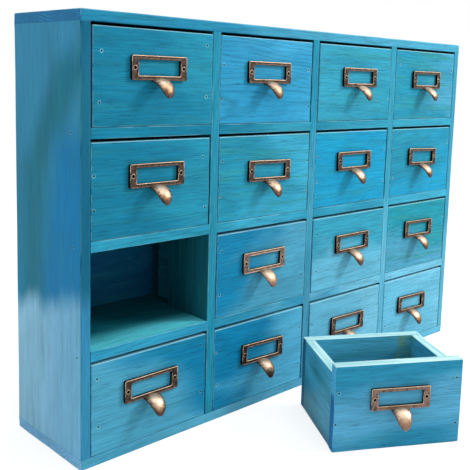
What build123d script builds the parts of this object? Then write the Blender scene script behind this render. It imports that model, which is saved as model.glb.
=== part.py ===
from build123d import *
import math
import os

# Tabletop cabinet with sixteen small drawers in four rows and four columns.
# Millimetres, +Z up. The origin is the centre of the cabinet's underside and the fronts face -Y.
# Fifteen drawers are shut. The sixteenth, from the third row of the left column, stands on the
# same table in front of the cabinet, as in the photograph, and its bay is empty.

# Cabinet, overall
cabinet_width = 600.0
cabinet_height = 415.0
cabinet_depth = 120.0
columns = 4
rows = 4

# Cabinet boards
top_thick = 10.0
bottom_thick = 10.0
side_thick = 10.0
shelf_thick = 10.0
divider_thick = 10.0
divider_depth = 66.0  # behind the dividers the columns are open to each other
back_thick = 5.0
lap_clearance = 0.1  # around each board where shelves and dividers cross
outer_ease = 1.2  # rounding of the cabinet's outer edges
inner_ease = 0.5  # rounding of the front edges of shelves and dividers

# Drawers
side_play = 1.0  # mean gap at each side of a front in its bay
least_play = 0.3  # gap left at the side that a drawer leans to
seat_play = 0.3  # height of a front above the shelf that it slides on
top_play = 2.95  # gap above a front
stop_play = 5.0  # gap between a shut drawer and the back panel
front_thick = 11.0
wall_thick = 10.5
rear_thick = 11.0
floor_thick = 4.0
box_lift = 0.8  # height of a box's lower edges above its front's lower edge
box_drop = 9.0  # how far a box's upper edges lie below its front's upper edge
box_inset = 0.3  # how far a box stays inside the ends of its front
front_ease = 0.8
wall_ease = 0.6

# Nails, all of one size, with their heads just below the surface
nail_radius = 0.9
nail_play = 0.05
nail_length = 24.0
nail_sink = 0.5
side_nail_depths = [16.0, 12.0, 7.0]  # from the cabinet's front to the nails in its sides
board_nail_depth = 12.0  # and to those in its top and bottom boards
rear_nail_height = 20.0  # a rear board's nails, from its lower and upper edges
back_nail_pitch = 145.0
nail_stray = 3.0  # how far nails driven by eye stray

# Pulls: a cast card frame with a leaf-shaped tongue for a finger
frame_width = 62.5
frame_height = 22.5
frame_face = 3.0  # how far the frame's face stands off the front
frame_thick = 1.6
frame_corner = 2.2
jamb_width = 7.5
upper_rail = 3.8
lower_rail = 4.2
window_corner = 0.8
rim_width = 0.9
rim_height = 0.45
rim_ease = 0.2
seat_inset = 1.2  # how far the seat behind the frame stays inside its outline
pull_height = 52.3  # the frame's centre above the front's lower edge, on a usual front
pin_radius = 0.8
pin_head_radius = 1.5
pin_head_angle = 82.0
pin_length = 9.0
pin_play = 0.05
tongue_thick = 1.7
tongue_seat = 2.3  # how far above the frame's foot the tongue springs from its face
tongue_bury = 0.9  # how deep the tongue's root lies in the frame
tongue_drop = 16.0  # the frame's lower edge to the tongue's tip
tongue_curl = 1.7  # how far the tip turns back under
tongue_cross_radius = 30.0  # the tongue's roundness across
tongue_sweep = 120.0  # degrees of the round barrel that the tongue is cut from
tongue_root_width = 19.0
tongue_mid_width = 14.4
tongue_mid_drop = 8.0
tongue_tip_width = 8.0
tongue_tip_rise = 2.4
tongue_ease = 0.4

# The drawer that stands in front: the lower left corner of its front, and its turn
loose_left = 200.6  # from the cabinet's left side
loose_ahead = 129.0  # in front of the cabinet's front
loose_turn = -31.1  # degrees about Z
loose_place = (3, 1)

# The heights of pulls and nails are those on a usual front, and go with its height
usual_front = 88.0

# How each drawer was fitted by hand, by row and column: which side it leans to (-1 left, 1 right),
# how far its pull sits right of and above the usual place, and the pull's turn in degrees.
fitting = {
    (1, 1): (1.0, 1.75, 0.7, 0.0),
    (1, 2): (-1.0, -0.45, 0.5, 0.0),
    (1, 3): (1.0, 4.25, -1.2, 0.0),
    (1, 4): (0.0, -0.65, -1.3, 0.0),
    (2, 1): (-1.0, 2.05, 3.4, 0.0),
    (2, 2): (0.0, 3.0, -2.3, 1.3),
    (2, 3): (-1.0, 1.35, 0.4, 0.0),
    (2, 4): (-0.3, -0.8, -2.3, 2.0),
    (3, 1): (0.0, 0.8, 0.2, 0.0),
    (3, 2): (0.8, -1.35, 0.5, 0.0),
    (3, 3): (1.0, 3.45, 0.5, 0.0),
    (3, 4): (-1.0, 0.3, 0.8, 1.5),
    (4, 1): (-0.6, -1.85, 0.8, 0.0),
    (4, 2): (-0.6, 1.4, -1.0, 2.0),
    (4, 3): (0.8, 1.65, -1.0, 1.5),
    (4, 4): (-0.2, -5.9, -1.7, 2.0),
}

# The nails of each front: distance in from the left end and height of the lower and the upper
# nail, then the same from the right end.
front_nails = {
    (1, 1): [(6.8, 21.6), (8.8, 66.2), (7.5, 27.1), (7.5, 76.8)],
    (1, 2): [(2.4, 24.8), (4.2, 58.8), (3.3, 17.1), (5.6, 57.2)],
    (1, 3): [(8.3, 22.6), (8.8, 67.8), (2.4, 25.9), (5.5, 74.6)],
    (1, 4): [(8.2, 27.2), (8.7, 69.1), (4.6, 22.0), (5.2, 64.0)],
    (2, 1): [(2.7, 27.5), (2.7, 58.4), (5.0, 18.4), (8.3, 69.0)],
    (2, 2): [(2.4, 27.2), (4.8, 63.2), (4.0, 21.2), (2.4, 56.9)],
    (2, 3): [(4.7, 30.5), (4.7, 59.7), (3.9, 23.4), (4.4, 63.1)],
    (2, 4): [(5.4, 24.6), (4.2, 61.5), (3.6, 26.0), (5.0, 66.8)],
    (3, 1): [(2.4, 28.5), (4.8, 60.5), (4.6, 20.6), (6.2, 68.7)],
    (3, 2): [(4.4, 24.0), (5.9, 70.3), (5.8, 25.6), (6.3, 77.6)],
    (3, 3): [(8.8, 24.6), (8.0, 69.0), (4.2, 21.9), (5.1, 66.3)],
    (3, 4): [(5.2, 26.3), (4.6, 64.9), (4.8, 22.7), (3.9, 62.4)],
    (4, 1): [(7.6, 26.9), (6.2, 73.4), (5.6, 26.7), (7.3, 77.2)],
    (4, 2): [(5.4, 27.2), (2.4, 63.0), (4.4, 19.2), (4.8, 63.7)],
    (4, 3): [(4.9, 24.1), (5.1, 61.0), (3.7, 21.5), (2.4, 62.0)],
    (4, 4): [(4.9, 27.7), (2.8, 67.7), (4.1, 23.3), (4.7, 65.2)],
}

# Worked out from the sizes above
cabinet_front = -cabinet_depth / 2
inner_width = cabinet_width - 2 * side_thick
inner_height = cabinet_height - top_thick - bottom_thick
inner_depth = cabinet_depth - back_thick
inner_middle = cabinet_front + inner_depth / 2
back_face = cabinet_front + inner_depth
divider_back = cabinet_front + divider_depth
bay_width = (inner_width - (columns - 1) * divider_thick) / columns
bay_height = (inner_height - (rows - 1) * shelf_thick) / rows
drawer_depth = inner_depth - stop_play
front_width = bay_width - 2 * side_play
front_height = bay_height - seat_play - top_play
height_share = front_height / usual_front
box_width = front_width - 2 * box_inset
box_height = front_height - box_drop - box_lift
wall_length = drawer_depth - front_thick - rear_thick
wall_middle = (box_width - wall_thick) / 2
window_width = frame_width - 2 * jamb_width
window_height = frame_height - upper_rail - lower_rail
window_rise = (lower_rail - upper_rail) / 2
pin_spacing = frame_width - jamb_width
nail_hole = nail_radius + nail_play
nail_reach = nail_sink + nail_length
pin_hole = pin_radius + pin_play

os.makedirs("parts", exist_ok=True)


def bay_middle(column):
    """X of the middle of a column of bays, counted from the left."""
    first = (bay_width - inner_width) / 2
    return first + (column - 1) * (bay_width + divider_thick)


def bay_floor(row):
    """Z of the surface that the drawers of a row slide on, counted from the top."""
    return bottom_thick + (rows - row) * (bay_height + shelf_thick)


def stray(place, turn):
    """A steady offset within nail_stray, so that nails driven by eye aren't all in line."""
    return nail_stray * math.sin(7.31 * place + 2.57 * turn)


def save(piece, name):
    """Label a finished piece and write it to its own file."""
    piece.label = name
    export_step(piece, f"parts/{name}.step")


def bore(points, plane, depth, radius=nail_hole):
    """Drill holes from a plane into the part being built, at points of that plane."""
    with BuildSketch(plane) as holes:
        with Locations(*points):
            Circle(radius)
    extrude(holes.sketch, amount=-depth, mode=Mode.SUBTRACT)


def nails(points, plane):
    """Nails driven in from a plane at points of that plane, their heads just below it."""
    with BuildPart() as driven:
        with BuildSketch(plane.offset(-nail_sink)):
            with Locations(*points):
                Circle(nail_radius)
        extrude(amount=-nail_length)
    return driven.solids()


# Planes that the cabinet's nails are driven from
underside = Plane(origin=(0, 0, 0), x_dir=(1, 0, 0), z_dir=(0, 0, -1))
top_plane = Plane.XY.offset(cabinet_height)
left_plane = Plane(origin=(-cabinet_width / 2, 0, 0), x_dir=(0, -1, 0), z_dir=(-1, 0, 0))
right_plane = Plane(origin=(cabinet_width / 2, 0, 0), x_dir=(0, 1, 0), z_dir=(1, 0, 0))
rear_plane = Plane(origin=(0, cabinet_depth / 2, 0), x_dir=(-1, 0, 0), z_dir=(0, 1, 0))

# Where they go: the uprights are the two sides and the dividers between them
divider_pitch = bay_width + divider_thick
divider_middles = [bay_middle(column) + divider_pitch / 2 for column in range(1, columns)]
side_middle = (cabinet_width - side_thick) / 2
upright_middles = [-side_middle, *divider_middles, side_middle]
shelf_levels = [bay_floor(row) - shelf_thick / 2 for row in range(1, rows)]
upright_backs = [back_face, *[divider_back for _ in divider_middles], back_face]
board_front_nail = cabinet_front + board_nail_depth
top_nails = []
bottom_nails = []
for i, (x, back) in enumerate(zip(upright_middles, upright_backs)):
    board_back_nail = back - board_nail_depth
    top_nails.append((x, board_front_nail + stray(i, 1)))
    top_nails.append((x, board_back_nail + stray(i, 2)))
    bottom_nails.append((x, -board_front_nail - stray(i, 3)))
    bottom_nails.append((x, -board_back_nail - stray(i, 4)))
side_nails = []
for depth, level in zip(side_nail_depths, shelf_levels):
    side_nails.append((cabinet_front + depth, level))
mirrored_side_nails = [(-y, z) for y, z in side_nails]
back_nail_count = int(inner_width / back_nail_pitch)
back_nails = []
for level in shelf_levels:
    for i in range(back_nail_count):
        spot = (i - (back_nail_count - 1) / 2) * back_nail_pitch
        back_nails.append((spot + stray(i, level), level))

# Top and bottom boards run over the ends of the sides
with BuildPart() as top_board:
    with BuildSketch(Plane.XY.offset(cabinet_height - top_thick)):
        Rectangle(cabinet_width, cabinet_depth)
    extrude(amount=top_thick)
    upper_edges = top_board.faces().sort_by(Axis.Z)[-1].edges()
    fillet(upper_edges + top_board.edges().filter_by(Axis.Z), radius=outer_ease)
    bore(top_nails, top_plane, top_thick)
save(top_board.part, "top_board")

with BuildPart() as bottom_board:
    with BuildSketch(Plane.XY):
        Rectangle(cabinet_width, cabinet_depth)
    extrude(amount=bottom_thick)
    lower_edges = bottom_board.faces().sort_by(Axis.Z)[0].edges()
    fillet(lower_edges + bottom_board.edges().filter_by(Axis.Z), radius=outer_ease)
    bore(bottom_nails, underside, bottom_thick)
save(bottom_board.part, "bottom_board")


def side_panel(middle, outer_plane, shelf_nails):
    """One side of the cabinet, standing between the bottom board and the top board."""
    with BuildPart() as panel:
        with BuildSketch(Plane.XY.offset(bottom_thick)):
            with Locations((middle, 0)):
                Rectangle(side_thick, cabinet_depth)
        extrude(amount=inner_height)
        outer_edges = panel.edges().filter_by(Axis.Z).sort_by(SortBy.DISTANCE)[-2:]
        fillet(outer_edges, radius=outer_ease)
        bore(shelf_nails, outer_plane, side_thick)
        bore(top_nails, top_plane, nail_reach)
        bore(bottom_nails, underside, nail_reach)
    return panel.part


save(side_panel(-side_middle, left_plane, mirrored_side_nails), "left_side")
save(side_panel(side_middle, right_plane, side_nails), "right_side")

# The back is let in between the other boards, flush with their rear edges
with BuildPart() as back_panel:
    with BuildSketch(Plane.XZ.offset(-back_face)):
        with Locations((0, bottom_thick + inner_height / 2)):
            Rectangle(inner_width, inner_height)
    extrude(amount=-back_thick)
    bore(back_nails, rear_plane, back_thick)
save(back_panel.part, "back_panel")

# Shelves and dividers are halved into each other. The dividers are cut from behind, so that
# their front edges run unbroken from the bottom board to the top board. They are narrower than
# the shelves, and the empty bay shows the next drawer's box past its divider.
lap = divider_depth / 2


def shelf(level):
    """One shelf through all columns, notched from the front for the dividers."""
    with BuildPart() as board:
        with BuildSketch(Plane.XY.offset(level - shelf_thick / 2)):
            with Locations((0, inner_middle)):
                Rectangle(inner_width, inner_depth)
            with Locations(*[(x, cabinet_front) for x in divider_middles]):
                Rectangle(divider_thick + 2 * lap_clearance, 2 * lap, mode=Mode.SUBTRACT)
        extrude(amount=shelf_thick)
        front_edges = board.edges().filter_by(Axis.X).group_by(Axis.Y)[0]
        fillet(front_edges, radius=inner_ease)
        bore(mirrored_side_nails, left_plane, nail_reach)
        bore(side_nails, right_plane, nail_reach)
        bore(back_nails, rear_plane, nail_reach)
    return board.part


for number, level in enumerate(shelf_levels, start=1):
    save(shelf(level), f"shelf_{number}")


def divider(middle):
    """One divider from the bottom board to the top board, notched from behind for the shelves."""
    with BuildPart() as board:
        with BuildSketch(Plane.YZ.offset(middle - divider_thick / 2)):
            with Locations((cabinet_front + divider_depth / 2, bottom_thick + inner_height / 2)):
                Rectangle(divider_depth, inner_height)
            with Locations(*[(divider_back, z) for z in shelf_levels]):
                notch_depth = 2 * (divider_depth - lap + lap_clearance)
                Rectangle(notch_depth, shelf_thick + 2 * lap_clearance, mode=Mode.SUBTRACT)
        extrude(amount=divider_thick)
        front_edges = board.edges().filter_by(Axis.Z).group_by(Axis.Y)[0]
        fillet(front_edges, radius=inner_ease)
        bore(top_nails, top_plane, nail_reach)
        bore(bottom_nails, underside, nail_reach)
    return board.part


for number, middle in enumerate(divider_middles, start=1):
    save(divider(middle), f"divider_{number}")

cabinet_nails = Compound(
    children=[
        *nails(top_nails, top_plane),
        *nails(bottom_nails, underside),
        *nails(mirrored_side_nails, left_plane),
        *nails(side_nails, right_plane),
        *nails(back_nails, rear_plane),
    ]
)
save(cabinet_nails, "cabinet_nails")

# Pulls are worked out on a plane of their own: X along the frame, Y up it and Z out from the
# front, with the origin on the front's face behind the frame's centre.
frame_foot = -frame_height / 2
tongue_tip = frame_foot - tongue_drop
barrel_rise = tongue_tip + tongue_curl
barrel_radius = frame_foot + tongue_seat - barrel_rise
barrel_out = frame_face - tongue_bury
barrel_centre = (0, barrel_rise, barrel_out)
pin_places = [(-pin_spacing / 2, 0), (pin_spacing / 2, 0)]


def sag(half_span):
    """How far the tongue's roundness drops it at a distance from its middle line."""
    return tongue_cross_radius - math.sqrt(tongue_cross_radius**2 - half_span**2)


def leaf_outline():
    """The tongue as seen from in front: wide at the frame, round at the tip."""
    half_root = tongue_root_width / 2
    root = frame_foot + lower_rail
    with BuildSketch() as leaf:
        with BuildLine():
            edge = Spline(
                (half_root, root),
                (tongue_mid_width / 2, frame_foot - tongue_mid_drop),
                (tongue_tip_width / 2, tongue_tip + tongue_tip_rise),
                (0, tongue_tip),
                tangents=[(0, -1), (-1, 0)],
            )
            mirror(edge, about=Plane.YZ)
            Line((-half_root, root), (half_root, root))
        make_face()
    return leaf.sketch


def tongue():
    """The finger tongue: the leaf outline cut from a thin barrel that curls out and down."""
    half = tongue_root_width / 2 + rim_width
    outside = barrel_radius - sag(half)
    inside = outside - tongue_thick
    inner_radius = barrel_radius - tongue_thick
    with BuildPart() as shell:
        with BuildSketch(Plane(origin=barrel_centre)):
            with BuildLine():
                upper = ThreePointArc((-half, outside), (0, barrel_radius), (half, outside))
                lower = ThreePointArc((-half, inside), (0, inner_radius), (half, inside))
                Line(upper @ 0, lower @ 0)
                Line(upper @ 1, lower @ 1)
            make_face()
        along_frame = Axis(barrel_centre, (1, 0, 0))
        revolve(axis=along_frame, revolution_arc=tongue_sweep)
        extrude(leaf_outline(), amount=barrel_out + 2 * barrel_radius, mode=Mode.INTERSECT)
        fillet(shell.edges(), radius=tongue_ease)
    return shell.part


def outline(shrink):
    """The frame's outline, drawn in by an amount, as a face on the frame's plane."""
    with BuildSketch() as face:
        corner = max(frame_corner - shrink, rim_ease)
        RectangleRounded(frame_width - 2 * shrink, frame_height - 2 * shrink, corner)
    return face.sketch


def window(grow):
    """The window's outline, let out by an amount."""
    with BuildSketch() as face:
        with Locations((0, window_rise)):
            RectangleRounded(window_width + 2 * grow, window_height + 2 * grow, window_corner + grow)
    return face.sketch


def casting():
    """The pull in one piece: seat, frame with its window, raised rims, and the tongue."""
    with BuildPart() as pull:
        with BuildSketch(Plane.XY.offset(frame_face - frame_thick)):
            add(outline(0))
            add(window(0), mode=Mode.SUBTRACT)
        extrude(amount=frame_thick)
        with BuildSketch(Plane.XY.offset(frame_face)):
            add(outline(0))
            add(outline(rim_width), mode=Mode.SUBTRACT)
            add(window(rim_width))
            add(window(0), mode=Mode.SUBTRACT)
        extrude(amount=rim_height)
        fillet(pull.faces().sort_by(Axis.Z)[-1].edges(), radius=rim_ease)
        # the seat stands the frame off the wood and is open at the top, where a card goes in
        with BuildSketch(Plane.XY):
            add(outline(seat_inset))
            with Locations((0, window_rise + seat_inset)):
                slot_width = window_width + 2 * rim_width
                Rectangle(slot_width, window_height + 2 * seat_inset, mode=Mode.SUBTRACT)
        extrude(amount=frame_face - frame_thick)
        add(tongue())
        with Locations(Plane.XY.offset(frame_face)):
            with Locations(*pin_places):
                CounterSinkHole(
                    pin_hole, pin_head_radius + pin_play, counter_sink_angle=pin_head_angle
                )
    return pull.solid()


def pin():
    """One countersunk pin, its head level with the frame's face, at the middle of the frame."""
    cone = (pin_head_radius - pin_radius) / math.tan(math.radians(pin_head_angle / 2))
    with BuildPart() as turned:
        with BuildSketch(Plane.XZ):
            with BuildLine():
                Polyline(
                    (0, frame_face - pin_length),
                    (pin_radius, frame_face - pin_length),
                    (pin_radius, frame_face - cone),
                    (pin_head_radius, frame_face),
                    (0, frame_face),
                    close=True,
                )
            make_face()
        revolve(axis=Axis.Z)
    return turned.solid()


# Drawers are worked out from an origin of their own as well: the middle of the front's lower
# edge, on its face, with the drawer running back along +Y.
face_plane = Plane.XZ
tail_plane = Plane(origin=(0, drawer_depth, 0), x_dir=(-1, 0, 0), z_dir=(0, 1, 0))
rear_low = box_lift + rear_nail_height
rear_high = box_lift + box_height - rear_nail_height


def nail_points(place):
    """The four nails of a front, on its face."""
    points = []
    for end, (inset, height) in zip((-1, -1, 1, 1), front_nails[place]):
        points.append((end * (front_width / 2 - inset), height * height_share))
    return points


def rear_nail_points(place):
    """The four nails of a box's rear board."""
    number = place[0] * columns + place[1]
    points = []
    for end in (-1, 1):
        for height in (rear_low, rear_high):
            points.append((end * wall_middle, height + stray(number, end * height)))
    return points


def pull_plane(place):
    """Where a drawer's pull is fixed: on the front's face, as it was fitted by hand."""
    across, above, turn = fitting[place][1:]
    slope = math.radians(turn)
    along = (math.cos(slope), 0, -math.sin(slope))
    height = (pull_height + above) * height_share
    return Plane(origin=(across, 0, height), x_dir=along, z_dir=(0, -1, 0))


def drawer_front(place):
    """The front board, drilled for its nails and for the pins of its pull, with its nails."""
    with BuildPart() as front:
        with BuildSketch(face_plane):
            Rectangle(front_width, front_height, align=(Align.CENTER, Align.MIN))
        extrude(amount=-front_thick)
        fillet(front.edges(), radius=front_ease)
        bore(nail_points(place), face_plane, front_thick)
        bore(pin_places, pull_plane(place), pin_length - frame_face + pin_play, pin_hole)
    return [front.solid(), *nails(nail_points(place), face_plane)]


def drawer_box(place):
    """The boards behind a front: two walls, the rear that covers their ends, and the floor."""
    pieces = []
    for end in (-1, 1):
        with BuildPart() as wall:
            with BuildSketch(Plane.XY.offset(box_lift)):
                with Locations((end * wall_middle, front_thick + wall_length / 2)):
                    Rectangle(wall_thick, wall_length)
            extrude(amount=box_height)
            fillet(wall.edges().filter_by(Axis.Y).group_by(Axis.Z)[-1], radius=wall_ease)
            bore(nail_points(place), face_plane, nail_reach)
            bore(rear_nail_points(place), tail_plane, nail_reach)
        pieces.append(wall.solid())
    with BuildPart() as rear:
        with BuildSketch(Plane.XY.offset(box_lift)):
            with Locations((0, drawer_depth - rear_thick / 2)):
                Rectangle(box_width, rear_thick)
        extrude(amount=box_height)
        outer_edges = rear.faces().sort_by(Axis.Y)[-1].edges()
        fillet(outer_edges, radius=wall_ease)
        bore(rear_nail_points(place), tail_plane, rear_thick)
    pieces.append(rear.solid())
    with BuildPart() as floor:
        with BuildSketch(Plane.XY.offset(box_lift)):
            with Locations((0, front_thick + wall_length / 2)):
                Rectangle(box_width - 2 * wall_thick, wall_length)
        extrude(amount=floor_thick)
    pieces.append(floor.solid())
    return pieces + list(nails(rear_nail_points(place), tail_plane))


def drawer_plane(place):
    """Where a drawer stands: in its bay, or for one of them on the table in front."""
    row, column = place
    if place == loose_place:
        turn = math.radians(loose_turn)
        along = (math.cos(turn), math.sin(turn), 0)
        x = loose_left - cabinet_width / 2 + along[0] * front_width / 2
        y = cabinet_front - loose_ahead + along[1] * front_width / 2
        return Plane(origin=(x, y, 0), x_dir=along, z_dir=(0, 0, 1))
    lean = fitting[place][0] * (side_play - least_play)
    return Plane(origin=(bay_middle(column) + lean, cabinet_front, bay_floor(row) + seat_play))


def save_moved(pieces, place, move, name):
    """Put pieces made at a drawer's own origin where that drawer stands, and save them."""
    whole = drawer_plane(place).location * move
    moved = [piece.moved(whole) for piece in pieces]
    save(Compound(children=moved), f"drawer_r{place[0]}_c{place[1]}_{name}")


pull_casting = casting()
pull_pin = pin()
pull_pieces = [pull_casting] + [pull_pin.moved(Location((x, y, 0))) for x, y in pin_places]
for row in range(1, rows + 1):
    for column in range(1, columns + 1):
        place = (row, column)
        save_moved(drawer_front(place), place, Location(), "front")
        save_moved(drawer_box(place), place, Location(), "box")
        save_moved(pull_pieces, place, pull_plane(place).location, "pull")
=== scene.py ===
import math

import bpy
import numpy as np
from mathutils import Matrix, Vector


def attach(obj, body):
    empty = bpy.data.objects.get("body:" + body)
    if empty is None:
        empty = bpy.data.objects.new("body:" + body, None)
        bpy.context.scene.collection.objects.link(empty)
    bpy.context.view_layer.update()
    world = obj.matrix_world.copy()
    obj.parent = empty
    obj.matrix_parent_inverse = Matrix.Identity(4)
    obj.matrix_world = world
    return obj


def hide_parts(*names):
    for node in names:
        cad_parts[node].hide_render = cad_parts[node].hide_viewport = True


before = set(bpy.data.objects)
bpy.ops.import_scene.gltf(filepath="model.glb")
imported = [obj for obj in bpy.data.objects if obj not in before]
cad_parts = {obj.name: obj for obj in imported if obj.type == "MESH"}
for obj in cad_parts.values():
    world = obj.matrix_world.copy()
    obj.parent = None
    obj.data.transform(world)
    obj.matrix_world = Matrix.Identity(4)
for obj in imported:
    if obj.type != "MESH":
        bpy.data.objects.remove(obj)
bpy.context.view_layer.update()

# Boards of the cabinet: 10 mm pine, planed, with edges eased by hand, and stained once they were
# nailed together. The bottom board is laid first and runs the full width under the sides.
mm = 0.001
cabinet_half = np.array([300.0, 60.0, 207.5]) * mm
board_half = 5.0 * mm
cabinet_ease = 1.2 * mm
nail_hole_radius = 1.0 * mm
nail_hole_depth = 0.5 * mm
stain_ring = 1.7 * mm
joint_reach = 2.0 * mm
heart_depth = 34.0 * mm
slow_wander, quick_wander = np.array([61.0, 97.0, 83.0]), np.array([173.0, 211.0, 149.0])  # per metre
rng = np.random.default_rng(1601)


def ticks(half, ease, near=()):
    """Grid lines across one direction of a board. They lie round both eased edges, a little way
    in from them, evenly between, and closely about each place in `near`."""
    inward = np.array([0.0, 0.42, 1.0, 1.4, 2.4, 5.0]) * ease
    inward = inward[inward < half]
    ring = np.array([0.35, 0.7, 1.05, 1.4, 1.8, 2.2, 2.8]) * mm
    ring = np.concatenate([-ring[::-1], [0.0], ring])
    close = [spot + ring for spot in near]
    lines = np.concatenate([half - inward, inward - half, np.linspace(-half, half, 9), *close])
    return np.unique(np.round(lines[np.abs(lines) <= half], 6))


def board(half, ease, nails=(), nail_face=(1, -1), crisp=()):
    """A board about its own centre. Each of the six faces of a block is a grid of two parameters.
    A point closer than the ease to an edge is drawn on to a ball or rod of that radius, which
    rounds every edge. The ease wanders a little along the board, and shrinks to a quarter at the
    `crisp` faces that meet another board. Round each nail a bell-shaped dimple goes into the
    face. Returns sharp and rounded points, quads, the distance to the nearest edge in view and
    the closeness to a nail."""
    half = np.asarray(half, float)
    flat, way = nail_face
    across = [(flat + 1) % 3, (flat + 2) % 3]
    spots = np.array(nails, float).reshape(-1, 2)
    near = {across[0]: spots[:, 0], across[1]: spots[:, 1]}
    lines = [ticks(half[k], ease, near.get(k, ())) for k in range(3)]
    points, quads, count = [], [], 0
    for k in range(3):
        a, b = (k + 1) % 3, (k + 2) % 3
        u, v = np.meshgrid(lines[a], lines[b], indexing="ij")
        index = np.arange(u.size).reshape(u.shape)
        loop = np.stack([index[:-1, :-1], index[1:, :-1], index[1:, 1:], index[:-1, 1:]], -1)
        for sign in (-1, 1):
            face = np.zeros((u.size, 3))
            face[:, a], face[:, b], face[:, k] = u.ravel(), v.ravel(), sign * half[k]
            points.append(face)
            turned = loop.reshape(-1, 4)[:, :: sign]
            quads.append(turned + count)
            count += u.size
    sharp = np.concatenate(points)
    _, first, same = np.unique(np.round(sharp * 1e7), axis=0, return_index=True, return_inverse=True)
    sharp, quads = sharp[first], same.ravel()[np.concatenate(quads)]
    phase, quick_phase, _ = rng.uniform(0, 6.28, 3)
    wander = np.sin(sharp @ slow_wander + phase) + 0.6 * np.sin(sharp @ quick_wander + quick_phase)
    meeting = np.zeros(len(sharp))
    for k, sign in crisp:
        meeting = np.maximum(meeting, np.exp(-(((half[k] - sign * sharp[:, k]) / joint_reach) ** 2)))
    radius = (ease * (1 + 0.22 * wander) * (1 - 0.75 * meeting))[:, None]
    core = np.clip(sharp, radius - half, half - radius)
    out = sharp - core
    reach = np.linalg.norm(out, axis=1, keepdims=True)
    round_points = core + radius * out / np.maximum(reach, 1e-9)
    points = np.where(reach > 1e-7, round_points, sharp)
    edge = np.sort(half - np.abs(sharp), axis=1)[:, 1] + 3 * joint_reach * meeting
    nail = np.zeros(len(sharp))
    on_face = np.abs(sharp[:, flat] - way * half[flat]) < 1e-6
    for spot in spots:
        away = np.hypot(sharp[:, across[0]] - spot[0], sharp[:, across[1]] - spot[1])
        points[:, flat] -= way * on_face * nail_hole_depth * np.exp(-((away / nail_hole_radius) ** 4))
        nail = np.maximum(nail, on_face * np.exp(-((away / stain_ring) ** 2)))
    return sharp, points, quads, edge, nail


class Stock:
    """Collects the boards of one piece, with the values that their stain and grain go by: where a
    point lies in the log, where in the whole (-1 to 1 each way), how near it is to an edge,
    a nail or an end, and how much painted highlight lies on its top face."""

    def __init__(self, middle, half):
        self.middle, self.half = np.asarray(middle, float), np.asarray(half, float)
        self.parts, self.count = [], 0

    def add(self, centre, half, grain, ease, nails=(), nail_face=(1, -1), crisp=(), heart=None,
            top_light_share=0.0):
        """Cuts a board with its grain along axis `grain`, runs the heart of its log above it and
        `heart` to one side, and sets it at `centre`. The grain runs off a little to one side. Its top
        face takes a painted highlight, to the share given for it."""
        sharp, points, quads, edge, nail = board(half, ease, nails, nail_face, crisp)
        wide, thin = sorted([k for k in range(3) if k != grain], key=lambda k: -half[k])
        along, aside, run_off, side = rng.uniform(-1, 1, 4)
        if heart is None:
            heart = math.copysign((46 + 16 * aside) * mm, side)
        log = points[:, [grain, wide, thin]] + np.array([2.0 * along, heart, -heart_depth])
        log[:, 1] += 0.025 * run_off * points[:, grain]
        end = (np.abs(sharp[:, grain]) > half[grain] - 0.3 * ease).astype(float)
        # painted highlight: the top faces are paler, as light from above falls on them
        upper = top_light_share * (sharp[:, 2] > half[2] - 0.5 * ease)
        points = points + np.asarray(centre)
        place = (points - self.middle) / self.half
        self.parts.append((points, quads + self.count, edge, nail, end, upper, log, place))
        self.count += len(points)

    def build(self, name, move=None):
        """Joins the boards into one mesh object, carried by `move` from its own place if given."""
        points, quads, edge, nail, end, upper, log, place = map(np.concatenate, zip(*self.parts))
        if move is not None:
            points = points @ move[0].T + move[1]
        values = {"edge": edge, "nail": nail, "end": end, "upper": upper, "grain": log, "place": place}
        return mesh_object(name, points, quads, values)


def mesh_object(name, points, quads, values=()):
    """A smooth mesh object from arrays of points and quads, with values held at its points."""
    mesh = bpy.data.meshes.new(name)
    mesh.from_pydata(points.tolist(), [], quads.tolist())
    for key in values:
        data = values[key]
        kind = "FLOAT_VECTOR" if data.ndim == 2 else "FLOAT"
        field = "vector" if data.ndim == 2 else "value"
        layer = mesh.attributes.new(key, kind, "POINT")
        layer.data.foreach_set(field, data.astype(np.float32).ravel())
    mesh.polygons.foreach_set("use_smooth", np.ones(len(quads), bool))
    mesh.update()
    obj = bpy.data.objects.new(name, mesh)
    bpy.context.scene.collection.objects.link(obj)
    return obj


def wire(tree, kind, *ins, out=0, **props):
    """Adds a node, sets its properties and joins or fills its inputs in order."""
    node = tree.nodes.new(kind)
    for key, value in props.items():
        setattr(node, key, value)
    for socket, value in zip(node.inputs, ins):
        if isinstance(value, bpy.types.NodeSocket):
            tree.links.new(value, socket)
        elif value is not None:
            socket.default_value = value
    return node.outputs[out]


def math_node(tree, operation, *ins, clamp=False):
    return wire(tree, "ShaderNodeMath", *ins, operation=operation, use_clamp=clamp)


def blend(tree, factor, a, b, way="MIX"):
    """Mixes two colours by a factor."""
    node = tree.nodes.new("ShaderNodeMix")
    node.data_type, node.blend_type = "RGBA", way
    for index, value in ((0, factor), (6, a), (7, b)):
        if isinstance(value, bpy.types.NodeSocket):
            tree.links.new(value, node.inputs[index])
        else:
            node.inputs[index].default_value = value
    return node.outputs[2]


def noise(tree, vector, stretch, detail=2.0, roughness=0.5):
    """Noise on coordinates stretched by a factor for each direction."""
    scaled = wire(tree, "ShaderNodeVectorMath", vector, stretch, operation="MULTIPLY")
    return wire(tree, "ShaderNodeTexNoise", scaled, None, 1.0, detail, roughness)


def smooth_step(tree, value, low, high):
    node = tree.nodes.new("ShaderNodeMapRange")
    node.interpolation_type = "SMOOTHSTEP"
    tree.links.new(value, node.inputs[0])
    node.inputs[1].default_value, node.inputs[2].default_value = low, high
    return node.outputs[0]


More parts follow.
